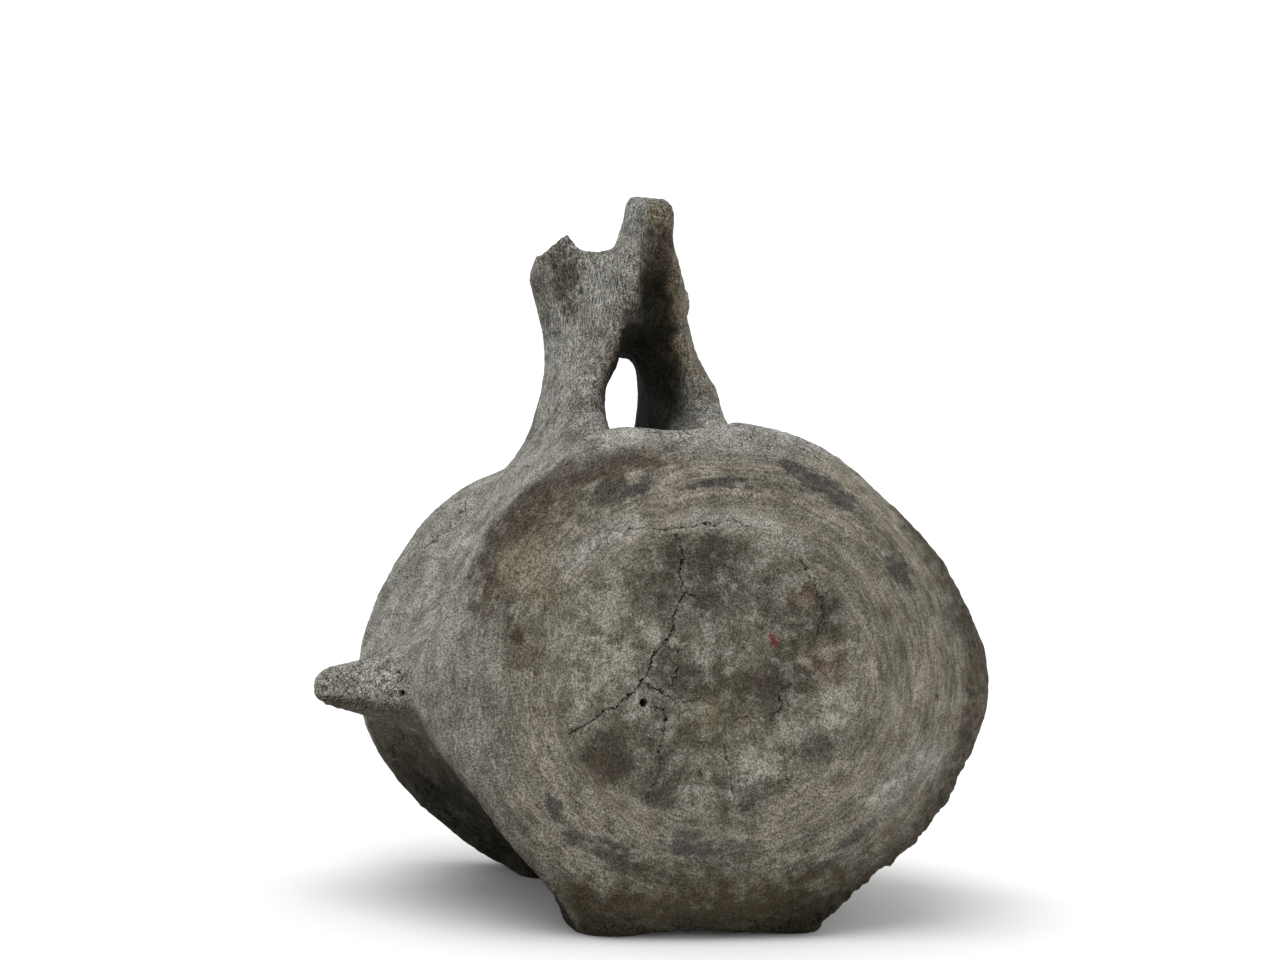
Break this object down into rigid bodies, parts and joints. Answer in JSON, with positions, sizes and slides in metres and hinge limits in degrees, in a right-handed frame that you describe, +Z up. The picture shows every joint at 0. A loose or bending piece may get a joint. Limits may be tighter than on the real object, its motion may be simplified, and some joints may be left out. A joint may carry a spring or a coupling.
{
  "type": "whale caudal vertebra",
  "caption": "Weathered tail vertebra of a large baleen whale: drum-shaped centrum, short worn transverse processes, and a neural arch with a low spine and metapophyses over a narrow canal.",
  "frame": {"origin": "on the floor, under the middle of the bone's bounding box", "axes": "+Z up, +Y along the bone from its hind (posterior) face to its front face, +X to the animal's right"},
  "size_m": [0.3682, 0.226, 0.3834],
  "materials": {
    "weathered_bone": "dry, matt, grainy grey bone, bleached light on the arch and sides and stained brown and grey on the joint face"
  },
  "bodies": {
    "root": {"centrum": "weathered_bone", "hind_epiphysis": "weathered_bone", "front_epiphysis": "weathered_bone", "neural_arch_left": "weathered_bone", "neural_arch_right": "weathered_bone", "neural_spine": "weathered_bone", "metapophysis_left": "weathered_bone", "metapophysis_right": "weathered_bone", "transverse_process_left": "weathered_bone", "transverse_process_right": "weathered_bone", "haemal_tubercle_hind_left": "weathered_bone", "haemal_tubercle_hind_right": "weathered_bone", "haemal_tubercle_front_left": "weathered_bone", "haemal_tubercle_front_right": "weathered_bone"}
  },
  "joints": []
}
